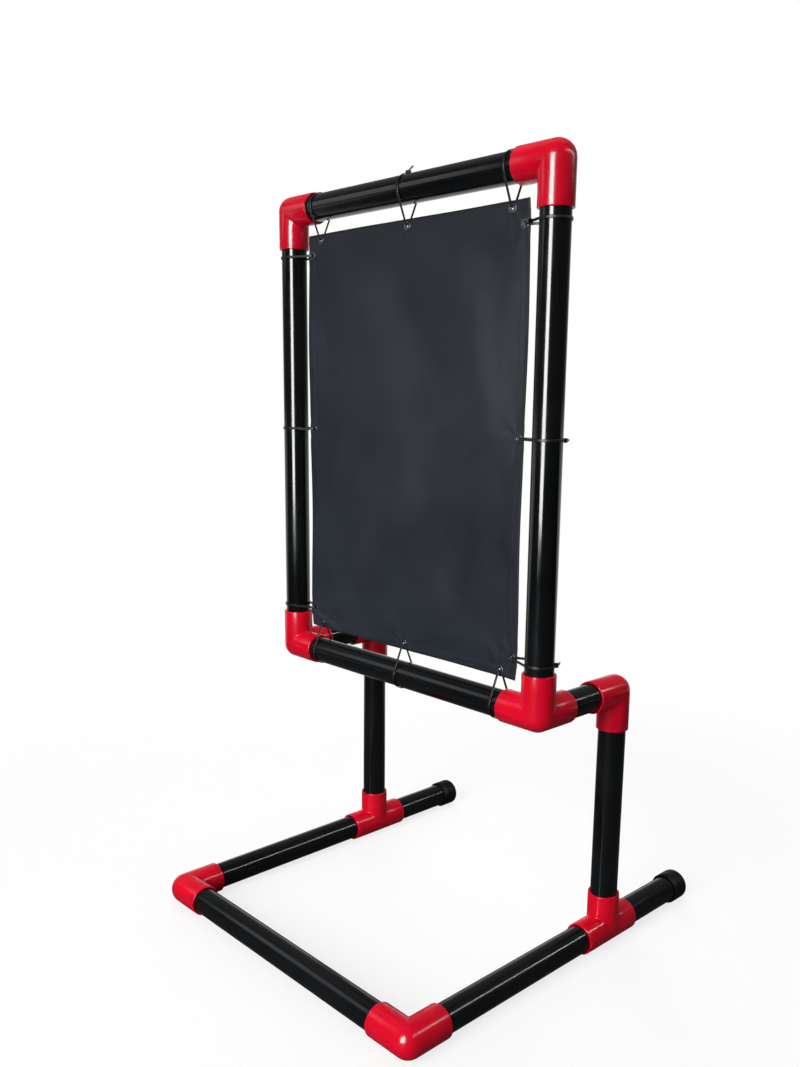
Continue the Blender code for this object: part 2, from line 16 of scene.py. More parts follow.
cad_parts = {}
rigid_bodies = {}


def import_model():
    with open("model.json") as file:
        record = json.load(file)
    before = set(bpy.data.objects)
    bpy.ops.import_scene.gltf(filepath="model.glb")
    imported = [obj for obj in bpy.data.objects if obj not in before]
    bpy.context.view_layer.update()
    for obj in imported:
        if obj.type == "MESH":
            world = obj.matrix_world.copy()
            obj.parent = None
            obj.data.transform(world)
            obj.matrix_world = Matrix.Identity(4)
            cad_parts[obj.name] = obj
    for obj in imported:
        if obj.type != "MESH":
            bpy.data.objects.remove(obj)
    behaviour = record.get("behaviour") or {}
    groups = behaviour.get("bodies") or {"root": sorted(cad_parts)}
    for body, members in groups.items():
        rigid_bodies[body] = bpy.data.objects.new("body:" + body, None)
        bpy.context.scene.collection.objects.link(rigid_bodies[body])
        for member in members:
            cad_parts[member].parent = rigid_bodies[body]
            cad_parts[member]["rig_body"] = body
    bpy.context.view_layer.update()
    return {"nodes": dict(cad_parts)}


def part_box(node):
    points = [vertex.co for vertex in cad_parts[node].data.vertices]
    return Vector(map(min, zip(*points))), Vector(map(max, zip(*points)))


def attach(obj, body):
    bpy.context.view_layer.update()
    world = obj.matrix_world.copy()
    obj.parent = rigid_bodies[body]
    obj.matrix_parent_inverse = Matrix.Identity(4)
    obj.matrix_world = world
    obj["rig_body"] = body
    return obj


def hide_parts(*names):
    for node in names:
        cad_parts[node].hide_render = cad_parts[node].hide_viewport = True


bl_info = {
    "name": "Pitching target",
    "version": (1, 0, 0),
    "blender": (4, 5, 0),
    "location": "3D View > Sidebar > Pitching target",
    "description": "Makes the pipes, fittings, sheet and ties of a pitching target and its studio",
    "category": "Object",
}

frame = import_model()

X_AXIS = Vector((1, 0, 0))
Y_AXIS = Vector((0, 1, 0))
Z_AXIS = Vector((0, 0, 1))
AXES = (X_AXIS, Y_AXIS, Z_AXIS)
FULL_TURN = 2 * math.pi
QUARTER_TURN = math.pi / 2
MERGE = 0.00001  # points closer than this are one point

SIDES = ("left", "right")
PIPES = (
    "front_cross_pipe",
    *(f"{kind}_pipe_{side}" for kind in ("front_rail", "rear_rail", "leg", "stub") for side in SIDES),
    *(f"frame_pipe_{edge}" for edge in ("top", "bottom", *SIDES)),
)
# Each kind of fitting, and the ways its sockets face at the left: at the right, X is turned round
FITTINGS = (
    ("front_elbow", (X_AXIS, Y_AXIS)),
    ("floor_tee", (Y_AXIS, -Y_AXIS, Z_AXIS)),
    ("leg_elbow", (-Y_AXIS, -Z_AXIS)),
    ("frame_corner", (X_AXIS, Y_AXIS, Z_AXIS)),
    ("frame_elbow", (X_AXIS, -Z_AXIS)),
)

SHEET_WIDTH = 0.448
SHEET_HEIGHT = 0.618
HALF_WIDTH = SHEET_WIDTH / 2
HALF_HEIGHT = SHEET_HEIGHT / 2
# The sheet's bent corners: the side and the end that each is at, and how far it is bent backwards
BENT_CORNERS = ((-1, -1, math.radians(12)), (1, -1, math.radians(-12)), (1, 1, math.radians(-7)))

# Each edge of the sheet, the way from its pipe to the sheet, and its ties
EDGES = (
    ("top", -Z_AXIS, ("left", "mid", "right")),
    ("bottom", Z_AXIS, ("left", "mid", "right")),
    ("left", X_AXIS, ("low", "mid", "high")),
    ("right", -X_AXIS, ("low", "mid", "high")),
)
# A tie's head, as a share of its loop from the eyelet by way of the front, and its tail's angle
HEAD_BEHIND = (0.62, math.radians(-20))
HEADS = {
    ("top", "mid"): (0.53, math.radians(-45)),
    ("left", "mid"): (0.10, math.radians(-30)),
    ("right", "high"): (0.14, math.radians(-30)),
}

# Each lamp: its place, the point that it faces, its size, the axis along its width and a narrow one's spread
COLOUR_LAMPS = (
    ("key", (0.6, -2.75, 1.5), (0, 0, 0.2), (1.8, 1.4), X_AXIS, 76),
    ("overhead", (-0.2, 0.3, 2.7), (0, 0, 0.5), (1.8, 1.2), X_AXIS),
    ("fill", (-2.3, 1.5, 1.4), (0, 0, 0.5), (1.4, 1.4), X_AXIS),
)
GLOSS_LAMPS = (
    ("strip", (0.55, -1.9, 1.05), (0.05, -0.06, 0.95), (0.75, 1.3), X_AXIS),
    ("side_line", (2.51, 1.42, 2.53), (-0.01, -0.58, 0.25), (3.15, 0.05), Y_AXIS),
    ("left_panel", (-2.2, -1.9, 1.9), (0, -0.06, 1.0), (0.9, 1.2), X_AXIS),
)
BACKDROP_WAY = (-0.723, 0.691, 0)  # level, and away from the camera


def length_setting(name, description, default):
    """A setting that holds a length."""
    return FloatProperty(name=name, description=description, default=default, min=0, unit="LENGTH")


def colour_setting(name, description, default):
    """A setting that holds a colour."""
    return FloatVectorProperty(
        name=name, description=description, default=default, subtype="COLOR", size=3, min=0, max=1
    )


def share_setting(name, description, default):
    """A setting that holds a level from 0 to 1."""
    return FloatProperty(name=name, description=description, default=default, min=0, max=1, subtype="FACTOR")


def power_setting(name, description, default):
    """A setting that holds a lamp's power."""
    return FloatProperty(name=name, description=description, default=default, min=0, unit="POWER")


class PipeSettings(PropertyGroup):
    """The pipe that the frame and the stand are cut from."""

    diameter: length_setting("Diameter", "Outside diameter", 0.040)
    wall: length_setting("Wall", "Wall thickness", 0.0025)
    sides: IntProperty(name="Sides", description="Facets round the pipe", default=64, min=16)
    colour: colour_setting("Colour", "Colour of the pipe", (0.0035, 0.0042, 0.005))
    roughness: share_setting("Roughness", "Middle roughness of the pipe", 0.14)


class FittingSettings(PropertyGroup):
    """The moulded elbows, tees and corners, and the end caps."""

    reach: length_setting("Reach", "From a fitting's centre to its mouth", 0.057)
    shoulder: length_setting("Shoulder", "From a fitting's centre to the shoulder that the pipe meets", 0.023)
    socket: length_setting("Socket radius", "Radius of the socket that the pipe slides into", 0.0203)
    rim: length_setting("Rim", "Rounding of a socket's rim", 0.0012)
    fillet: length_setting("Fillet", "Rounding where two arms meet", 0.0007)
    colour: colour_setting("Colour", "Colour of the fittings", (0.7, 0.0014, 0.021))
    roughness: share_setting("Roughness", "Middle roughness of the fittings", 0.19)
    cap_colour: colour_setting("Cap colour", "Colour of the end caps", (0.003, 0.004, 0.004))


class SheetSettings(PropertyGroup):
    """The hanging sheet and its eyelets."""

    thickness: length_setting("Thickness", "Thickness of the cloth", 0.0012)
    cell: length_setting("Cell", "Width of one cell of the cloth's mesh", 0.003)
    belly: length_setting("Fold depth", "Depth of the long soft folds", 0.0052)
    low_belly: length_setting("Lower fold depth", "Depth of the lower folds that lean the other way", 0.0013)
    edge_wave: length_setting("Edge wave", "How far the edge stands off between two ties", 0.0022)
    colour: colour_setting("Colour", "Colour of the cloth", (0.0094, 0.0134, 0.0212))
    eyelet_colour: colour_setting("Eyelet colour", "Colour of the eyelets' metal", (0.08, 0.083, 0.09))


class TieSettings(PropertyGroup):
    """The looped ties that hold the sheet."""

    width: length_setting("Width", "Width of the strap", 0.0036)
    thickness: length_setting("Thickness", "Thickness of the strap", 0.0011)
    colour: colour_setting("Colour", "Colour of the ties", (0.004, 0.004, 0.005))


class StageSettings(PropertyGroup):
    """The floor, the lights and the room."""

    floor_colour: colour_setting("Floor", "Colour of the floor", (0.97, 0.97, 0.965))
    bounce: share_setting("Bounce", "Share of the light that the floor sends back up", 0.2)
    surround: share_setting("Surround", "Level of the light from the backdrop's side", 0.22)
    front: share_setting("Front", "Level of the room behind the camera", 0.085)
    key_power: power_setting("Key", "Power of the broad light at the front", 20.5)
    overhead_power: power_setting("Overhead", "Power of the overhead light", 29)
    fill_power: power_setting("Fill", "Power of the soft light behind the left side", 27)
    strip_power: power_setting("Strip", "Power of the tall strip that shows in the gloss", 118)
    side_line_power: power_setting("Side line", "Power of the thin light over the rails", 40)
    left_panel_power: power_setting("Left panel", "Power of the soft panel at the left", 4.4)


def middle_and_size(node):
    """The middle and the size of a solid's box."""
    low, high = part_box(node)
    return (low + high) / 2, high - low


# The caps and the fittings have one outside radius
FITTING_RADIUS = sorted(middle_and_size("end_cap_left")[1])[1] / 2


def smooth_rise(share):
    """Zero up to 0, one from 1, and a smooth rise between."""
    share = min(max(share, 0), 1)
    return share * share * (3 - 2 * share)


def around(angle):
    """The direction at an angle about Z, from X."""
    return Vector((math.cos(angle), math.sin(angle), 0))


def turn_onto(x_way, y_way, z_way):
    """The turn that takes the three axes onto three directions."""
    return Matrix((x_way, y_way, z_way)).transposed().to_4x4()


def turn_to(direction):
    """The turn that takes +Z to a direction along an axis."""
    across = Y_AXIS if abs(direction.x) > 0.5 else X_AXIS
    return turn_onto(across, direction.cross(across), direction)


def place_shape(shape, place, turn=Matrix()):
    """Turns a whole shape about the origin and moves it."""
    bmesh.ops.transform(shape, matrix=Matrix.Translation(place) @ turn, verts=shape.verts)


def mend_shape(shape):
    """Welds a shape's seams and poles, and turns its faces outwards."""
    bmesh.ops.remove_doubles(shape, verts=shape.verts, dist=MERGE)
    bmesh.ops.recalc_face_normals(shape, faces=shape.faces)


def turned_shape(profile, steps, closed=False):
    """A shape turned about Z from (radius, height) points."""
    shape = bmesh.new()
    points = [shape.verts.new((radius, 0, height)) for radius, height in profile]
    lines = [shape.edges.new(pair) for pair in zip(points, points[1:])]
    if closed:
        lines.append(shape.edges.new((points[-1], points[0])))
    bmesh.ops.spin(shape, geom=points + lines, axis=Z_AXIS, angle=FULL_TURN, steps=steps, use_merge=True)
    mend_shape(shape)
    return shape


def rounded(corner, radius, start, steps):
    """Points of a quarter round in a profile: its centre, its radius and the angle that it starts from."""
    angles = [start - QUARTER_TURN * step / steps for step in range(steps + 1)]
    return [(corner[0] + radius * math.cos(angle), corner[1] + radius * math.sin(angle)) for angle in angles]


def mirrored(points):
    """A profile's points in the other order, with the sign of each second number turned round."""
    return [(first, -second) for first, second in reversed(points)]


def round_edges(shape, edges, radius, segments):
    """Rounds some of a shape's edges."""
    bmesh.ops.bevel(
        shape, geom=edges, offset=radius, offset_type="OFFSET", segments=segments, profile=0.5,
        affect="EDGES", material=-1, clamp_overlap=True,
    )


def join_shape(shape, other):
    """Adds another shape to a shape, and frees the other."""
    mesh = bpy.data.meshes.new("joined")
    other.to_mesh(mesh)
    other.free()
    shape.from_mesh(mesh)
    bpy.data.meshes.remove(mesh)


def object_of(name, shape, finish):
    """Makes a shape an object in the scene, with its finish."""
    mesh = bpy.data.meshes.new(name)
    shape.to_mesh(mesh)
    shape.free()
    mesh.materials.append(finish)
    item = bpy.data.objects.new(name, mesh)
    bpy.context.scene.collection.objects.link(item)
    return item


def finish_piece(name, shape, finish, node, sharp=40, closed=True):
    """Makes a shape a piece with its finish, in the place of a node, riding on the node's body."""
    loose = [edge for edge in shape.edges if len(edge.link_faces) != 2]
    if closed and loose:
        raise RuntimeError(f"{name} has {len(loose)} edges that aren't between two faces")
    piece = object_of(name, shape, finish)
    piece.data.shade_smooth()
    piece.data.set_sharp_from_angle(angle=math.radians(sharp))
    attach(piece, frame["nodes"][node]["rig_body"])
    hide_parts(node)
    return piece


class Tree:
    """A node tree in the making, with short ways to add its nodes."""

    def __init__(self, tree, place):
        self.nodes, self.links = tree.nodes, tree.links
        self.place = self.nodes.new("ShaderNodeTexCoord").outputs[place]

    def feed(self, socket, value):
        """Links an output to a socket, or sets the socket to a value."""
        if isinstance(value, bpy.types.NodeSocket):
            self.links.new(value, socket)
        else:
            socket.default_value = value

    def add(self, kind, output, inputs, **options):
        """Adds a node with its options and inputs, and returns one of its outputs."""
        node = self.nodes.new(f"ShaderNode{kind}")
        for name, option in options.items():
            setattr(node, name, option)
        for socket, value in inputs.items():
            self.feed(node.inputs[socket], value)
        return node.outputs[output]

    def maths(self, operation, *values):
        """Outputs or numbers, added, multiplied or compared."""
        return self.add("Math", "Value", dict(enumerate(values)), operation=operation)

    def ranged(self, value, low, high, to_low=0, to_high=1, run="LINEAR"):
        """A value taken from one range to another, and held inside it."""
        inputs = {"Value": value, "From Min": low, "From Max": high, "To Min": to_low, "To Max": to_high}
        return self.add("MapRange", "Result", inputs, interpolation_type=run)

    def behind(self, start, end):
        """Zero before one distance towards the backdrop, and one past another."""
        way = {0: self.place, 1: BACKDROP_WAY}
        side = self.add("VectorMath", "Value", way, operation="DOT_PRODUCT")
        return self.ranged(side, start, end, run="SMOOTHSTEP")

    def seen(self, start, end):
        """One for the rays that show the background: straight ones, and those mirrored or bent towards it."""
        path = self.nodes.new("ShaderNodeLightPath").outputs
        mirrored = self.maths("MAXIMUM", path["Is Glossy Ray"], path["Is Transmission Ray"])
        height = self.add("SeparateXYZ", "Z", {"Vector": self.place})
        low = self.ranged(height, 0.1, 0.4, 1, 0, run="SMOOTHSTEP")
        backdrop = self.maths("MULTIPLY", self.maths("MULTIPLY", mirrored, low), self.behind(start, end))
        return self.maths("MAXIMUM", path["Is Camera Ray"], backdrop)


class Finish(Tree):
    """A material in the making, on its Principled shader."""

    def __init__(self, name, colour, roughness, specular, metallic=0.0):
        self.material = bpy.data.materials.new(name)
        self.material.use_nodes = True
        super().__init__(self.material.node_tree, "Object")
        self.shader = self.nodes["Principled BSDF"]
        self.surface = None
        self.give("Base Color", tinted(colour, 1))
        self.give("Roughness", roughness)
        self.give("Specular IOR Level", specular)
        self.give("Metallic", metallic)

    def give(self, socket, value):
        """Links an output to a socket of the shader, or sets the socket to a value."""
        self.feed(self.shader.inputs[socket], value)

    def stretched(self, across, along, axis):
        """The place on the piece, scaled by one number across an axis and by another along it."""
        scale = [across] * 3
        scale[axis] = along
        return self.add("Mapping", "Vector", {"Vector": self.place, "Scale": scale})

    def noise(self, scale, detail=3, roughness=0.5, place=None):
        """Soft noise, from 0 to 1."""
        inputs = {"Vector": place or self.place, "Scale": scale, "Detail": detail, "Roughness": roughness}
        return self.add("TexNoise", "Fac", inputs)

    def mixed(self, factor, first, second):
        """Two colours mixed by a factor, on the Mix node's colour sockets."""
        return self.add("Mix", 2, {"Factor": factor, 6: first, 7: second}, data_type="RGBA")

    def clouded(self, cloud, low, high, colour, tints, most=1):
        """Colours the surface from one tint to another, as a noise rises from low to high."""
        amount = self.ranged(cloud, low, high, 0, most)
        self.give("Base Color", self.mixed(amount, *(tinted(colour, tint) for tint in tints)))

    def bump(self, height, distance, strength):
        """Adds a height to the surface, over those added before."""
        inputs = {"Height": height, "Distance": distance, "Strength": strength}
        if self.surface is not None:
            inputs["Normal"] = self.surface
        self.surface = self.add("Bump", "Normal", inputs)
        self.give("Normal", self.surface)


def tinted(colour, factor):
    """A colour made lighter or darker, as a shader takes it."""
    return (*(min(1, value * factor) for value in colour), 1)


def pipe_finish(settings, axis):
    """Extruded gloss plastic: faint lines along the pipe, a soft haze and a few fine scratches."""
    finish = Finish(f"black_pipe_{'xyz'[axis]}", settings.colour, settings.roughness, 0.3)
    haze = finish.noise(9, 4, 0.6)
    finish.clouded(haze, 0.45, 0.8, settings.colour, (1, 1.9), most=0.7)
    rough = finish.ranged(haze, 0.35, 0.75, settings.roughness * 0.7, settings.roughness * 1.6)
    scratches = finish.noise(1, 1, 0.4, finish.stretched(900, 6, axis))
    finish.give("Roughness", finish.maths("ADD", rough, finish.ranged(scratches, 0.70, 0.76, 0, 0.12)))
    finish.bump(finish.noise(28, 2), 0.0003, 0.35)
    lines = finish.noise(1, 2, 0.6, finish.stretched(260, 2, axis))
    finish.bump(lines, 0.00006, 0.5)
    return finish.material


def fitting_finish(settings):
    """Moulded gloss plastic: a faint orange peel, cloudy pigment and light wear."""
    finish = Finish("red_fitting", settings.colour, settings.roughness, 0.3)
    cloud = finish.noise(14, 4, 0.6)
    finish.clouded(cloud, 0.35, 0.7, settings.colour, (0.92, 1.06))
    rough = finish.ranged(cloud, 0.3, 0.75, settings.roughness * 0.8, settings.roughness * 1.4)
    wear = finish.noise(60, 5, 0.65)
    finish.give("Roughness", finish.maths("ADD", rough, finish.ranged(wear, 0.62, 0.72, 0, 0.12)))
    finish.bump(finish.noise(35, 2), 0.0004, 0.3)
    finish.bump(finish.noise(420, 2), 0.00005, 0.5)
    return finish.material


def cap_finish(settings):
    """Moulded satin plastic with a fine grain."""
    finish = Finish("black_cap", settings.cap_colour, 0.42, 0.12)
    cloud = finish.noise(40, 4, 0.6)
    finish.clouded(cloud, 0.4, 0.75, settings.cap_colour, (1, 1.6))
    finish.give("Roughness", finish.ranged(cloud, 0.3, 0.7, 0.36, 0.52))
    finish.bump(finish.noise(900, 2, 0.6), 0.00008, 0.6)
    return finish.material


def eyelet_finish(settings):
    """Dark plated metal, a little worn on its crown."""
    finish = Finish("dark_eyelet", settings.eyelet_colour, 0.3, 0.5, metallic=1.0)
    wear = finish.noise(500, 4, 0.6)
    finish.clouded(wear, 0.5, 0.7, settings.eyelet_colour, (1, 2.2))
    finish.give("Roughness", finish.ranged(wear, 0.3, 0.7, 0.22, 0.42))
    return finish.material


def tie_finish(settings):
    """Moulded nylon with a satin surface."""
    finish = Finish("black_tie", settings.colour, 0.38, 0.3)
    cloud = finish.noise(220, 3, 0.6)
    finish.clouded(cloud, 0.4, 0.7, settings.colour, (1, 1.7))
    finish.give("Roughness", finish.ranged(cloud, 0.3, 0.7, 0.3, 0.48))
    finish.bump(finish.noise(1400, 2), 0.00004, 0.5)
    return finish.material


def edge_distance(finish):
    """How far a point is in from the flat sheet's edge, how far along it, and how deep in the band of painted
    edge shade, which is wider at the right side.
    """
    flat = finish.add("UVMap", "UV", {}, uv_map="flat")
    parts = finish.add("SeparateXYZ", "X", {"Vector": flat}).node.outputs
    across = finish.maths("MULTIPLY", parts["X"], SHEET_WIDTH)
    up = finish.maths("MULTIPLY", parts["Y"], SHEET_HEIGHT)
    from_right = finish.maths("SUBTRACT", SHEET_WIDTH, across)
    from_side = finish.maths("MINIMUM", across, from_right)
    from_end = finish.maths("MINIMUM", up, finish.maths("SUBTRACT", SHEET_HEIGHT, up))
    inset = finish.maths("MINIMUM", from_side, from_end)
    at_side = finish.maths("LESS_THAN", from_side, from_end)
    turn = finish.maths("MULTIPLY", at_side, finish.maths("SUBTRACT", up, across))
    along = finish.maths("ADD", across, turn)
    # The band of painted shade is wider at the right side, where the edge turns back from the light
    shade_band = finish.maths("MINIMUM", inset, finish.maths("MULTIPLY", from_right, 0.6))
    return inset, along, shade_band


def cloth_finish(settings):
    """Coated woven cloth with a stitched hem: fine square weave under a satin coat, with handling marks, and
    painted shade in a dark band along the edge.
    """
    colour = settings.colour
    finish = Finish("black_sheet", colour, 0.5, 0.2)
    finish.give("Sheen Weight", 0.045)
    finish.give("Sheen Roughness", 0.45)
    inset, along, shade_band = edge_distance(finish)
    cloud = finish.noise(7, 5, 0.62)
    fine = finish.ranged(finish.noise(320, 3, 0.6), 0.3, 0.7, 0, 0.3)
    shade = finish.maths("ADD", finish.ranged(cloud, 0.35, 0.7, 0, 0.7), fine)
    body = finish.mixed(shade, tinted(colour, 0.8), tinted(colour, 1.3))
    stitch_row, row_half_width = 0.0118, 0.0004
    half_stitch, half_gap = 0.002, 0.0005
    row = finish.maths("COMPARE", inset, stitch_row, row_half_width)
    thread = finish.maths("GREATER_THAN", finish.maths("PINGPONG", along, half_stitch), half_gap)
    stitch = finish.maths("MULTIPLY", finish.maths("MULTIPLY", row, thread), 0.6)
    hemmed = finish.mixed(stitch, body, tinted(colour, 2.2))
    # Painted shade: a dark band along the cloth's edge, widest at the right side
    edge = finish.ranged(shade_band, 0.0026, 0.0031, 1, 0)
    edge_shaded = finish.mixed(finish.maths("MULTIPLY", edge, 0.9), hemmed, tinted(colour, 0.12))
    finish.give("Base Color", edge_shaded)
    rough = finish.ranged(cloud, 0.35, 0.7, 0.42, 0.58)
    finish.give("Roughness", finish.maths("ADD", rough, finish.maths("MULTIPLY", edge, 0.25)))
    weave = {"Vector": finish.place, "Scale": 390, "Distortion": 0.6, "Detail": 1}
    threads = [finish.add("TexWave", "Fac", weave, bands_direction=axis) for axis in "XZ"]
    finish.bump(finish.noise(16, 3, 0.55), 0.0012, 0.5)
    finish.bump(finish.ranged(inset, 0.0125, 0.0135, 1, 0), 0.0004, 0.6)
    finish.bump(finish.maths("MULTIPLY", *threads), 0.00005, 0.5)
    return finish.material


def floor_finish(settings):
    """Pale and dull: white to the rays that see the background, and darker to the others."""
    finish = Finish("pale_floor", settings.floor_colour, 0.8, 0.1)
    seen = finish.seen(0.5, 1.3)
    mirrored = finish.nodes.new("ShaderNodeLightPath").outputs["Is Glossy Ray"]
    unseen = finish.ranged(mirrored, 0, 1, settings.bounce, settings.front)
    level = finish.ranged(seen, 0, 1, unseen, 1)
    dimmed = {0: settings.floor_colour, "Scale": level}
    finish.give("Base Color", finish.add("VectorMath", "Vector", dimmed, operation="SCALE"))
    distance = finish.add("VectorMath", "Value", {0: finish.place}, operation="LENGTH")
    whiter = finish.ranged(distance, 0.4, 1.5, 0.78, 1, run="SMOOTHSTEP")
    layers = {
        "Fac": finish.maths("MULTIPLY", whiter, seen),
        1: finish.shader.outputs["BSDF"],
        2: finish.add("Emission", "Emission", {}),
    }
    surface = finish.add("MixShader", "Shader", layers)
    finish.feed(finish.nodes["Material Output"].inputs["Surface"], surface)
    return finish.material


class TARGET_OT_pipes(Operator):
    """Make every pipe of the frame and the stand"""

    bl_idname = "target.pipes"
    bl_label = "Pipes"

    def execute(self, context):
        settings = context.scene.target_pipes
        finishes = [pipe_finish(settings, axis) for axis in range(3)]
        for node in PIPES:
            middle, size = middle_and_size(node)
            axis = max(range(3), key=lambda i: size[i])
            shape = self.pipe_shape(settings, size[axis] / 2)
            place_shape(shape, middle, turn_to(AXES[axis]))
            finish_piece(f"{node}_round", shape, finishes[axis], node)
        return {"FINISHED"}

    def pipe_shape(self, settings, end):
        """A cut length of pipe along Z with its edges eased."""
        outer = settings.diameter / 2
        inner = outer - settings.wall
        ease = settings.wall / 6
        outside = ((outer - ease, end), (outer, end - ease))
        inside = ((inner + ease, -end), (inner, -end + ease))
        profile = (*outside, *mirrored(outside), *inside, *mirrored(inside))
        return turned_shape(profile, settings.sides, closed=True)


class TARGET_OT_fittings(Operator):
    """Make the moulded elbows, tees and three-way corners"""

    bl_idname = "target.fittings"
    bl_label = "Fittings"

    def execute(self, context):
        settings = context.scene.target_fittings
        pipes = context.scene.target_pipes
        finish = fitting_finish(settings)
        for kind, left_ways in FITTINGS:
            for side in SIDES:
                node = f"{kind}_{side}"
                ways = [-way if side == "right" and way == X_AXIS else way for way in left_ways]
                shape = self.fitting_shape(settings, pipes, ways)
                place_shape(shape, self.centre(node, ways, settings.reach))
                finish_piece(f"{node}_moulded", shape, finish, node, sharp=50)
        return {"FINISHED"}

    def centre(self, node, ways, reach):
        """Where a fitting's arms cross, from its solid's box."""
        low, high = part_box(node)
        middle = (low + high) / 2
        for axis in range(3):
            if any(way[axis] > 0.5 for way in ways):
                middle[axis] = high[axis] - reach
            elif any(way[axis] < -0.5 for way in ways):
                middle[axis] = low[axis] + reach
        return middle

    def arm_profile(self, settings, bore):
        """The section of an arm's wall: the outside up to the rim, the socket and the passage behind it."""
        outer = FITTING_RADIUS
        ease = settings.rim / 3
        rim_centre = (outer - settings.rim, settings.reach - settings.rim)
        profile = [(outer, 0), (outer, outer + settings.fillet * 2)]
        profile += reversed(rounded(rim_centre, settings.rim, QUARTER_TURN, 4))
        profile += [
            (settings.socket + ease, settings.reach),
            (settings.socket, settings.reach - ease),
            (settings.socket, settings.shoulder),
            (bore, settings.shoulder),
            (bore, 0),
        ]
        return profile

    def fitting_shape(self, settings, pipes, ways):
        """Arms cut along the planes where they meet, with a rounded heel behind them."""
        bore = pipes.diameter / 2 - pipes.wall
        profile = self.arm_profile(settings, bore)
        shape = bmesh.new()
        for way in ways:
            arm = turned_shape(profile, pipes.sides)
            place_shape(arm, (0, 0, 0), turn_to(way))
            for other in ways:
                if abs(other.dot(way)) < 0.5:
                    whole = arm.verts[:] + arm.edges[:] + arm.faces[:]
                    cut = (other - way).normalized()
                    bmesh.ops.bisect_plane(arm, geom=whole, dist=MERGE / 10, plane_no=cut, clear_outer=True)
            join_shape(shape, arm)
        if not any(way.dot(other) < -0.5 for way in ways for other in ways):
            for radius in (FITTING_RADIUS, bore):
                join_shape(shape, self.heel_shape(ways, radius, pipes.sides))
        mend_shape(shape)
        creases = [edge for edge in shape.edges if self.is_crease(edge, ways)]
        round_edges(shape, creases, settings.fillet, 4)
        return shape

    def heel_shape(self, ways, radius, sides):
        """The part of a ball behind all the arms."""
        first, second = ways[:2]
        axis = first.cross(second)
        if len(ways) == 2:
            pole, sweep = axis, math.pi
        else:
            pole, sweep = -ways[2], QUARTER_TURN
        steps = round(sides * sweep / FULL_TURN)
        shape = bmesh.new()
        points = []
        for step in range(steps + 1):
            angle = sweep * step / steps
            points.append(shape.verts.new(radius * (pole * math.cos(angle) - second * math.sin(angle))))
        lines = [shape.edges.new(pair) for pair in zip(points, points[1:])]
        bmesh.ops.spin(shape, geom=points + lines, axis=axis, angle=-QUARTER_TURN, steps=sides // 4)
        bmesh.ops.remove_doubles(shape, verts=shape.verts, dist=MERGE)
        return shape

    def is_crease(self, edge, ways):
        """Whether an edge lies in the hollow where two arms meet on the outside."""
        if len(edge.link_faces) != 2 or edge.calc_face_angle_signed() > -math.radians(12):
            return False
        for way in ways:
            for other in ways:
                plane = (other - way).normalized()
                if abs(other.dot(way)) < 0.5 and all(abs(end.co.dot(plane)) < MERGE for end in edge.verts):
                    return True
        return False


class TARGET_OT_caps(Operator):
    """Make the end caps of the rear pipes"""

    bl_idname = "target.caps"
    bl_label = "End caps"

    def execute(self, context):
        settings = context.scene.target_fittings
        sides = context.scene.target_pipes.sides
        finish = cap_finish(settings)
        for side in SIDES:
            node = f"end_cap_{side}"
            low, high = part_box(node)
            shape = turned_shape(self.cap_profile(settings, high.y - low.y), sides)
            middle = (low + high) / 2
            place_shape(shape, (middle.x, low.y, middle.z), turn_to(Y_AXIS))
            finish_piece(f"{node}_moulded", shape, finish, node, sharp=50)
        return {"FINISHED"}

    def cap_profile(self, settings, length):
        """A cap along Z with its mouth at zero: a domed end, a round shoulder and a lipped mouth."""
        outer = FITTING_RADIUS
        edge, dome, lip, end_wall = 0.007, 0.0012, 0.0006, 0.004
        groove_start, groove_end, slope = 0.004, 0.006, 0.0005
        floor = length - end_wall
        profile = [(0, length), (outer * 0.35, length - dome * 0.12), (outer * 0.55, length - dome * 0.4)]
        profile += rounded((outer - edge, length - edge - dome * 0.5), edge, QUARTER_TURN * 0.94, 8)
        profile += [
            (outer, groove_end),
            (outer - lip, groove_end - slope),
            (outer - lip, groove_start + slope),
            (outer, groove_start),
            (outer, lip),
            (outer - lip, 0),
            (settings.socket + lip, 0),
            (settings.socket, lip),
            (settings.socket, floor),
            (0, floor),
        ]
        return profile


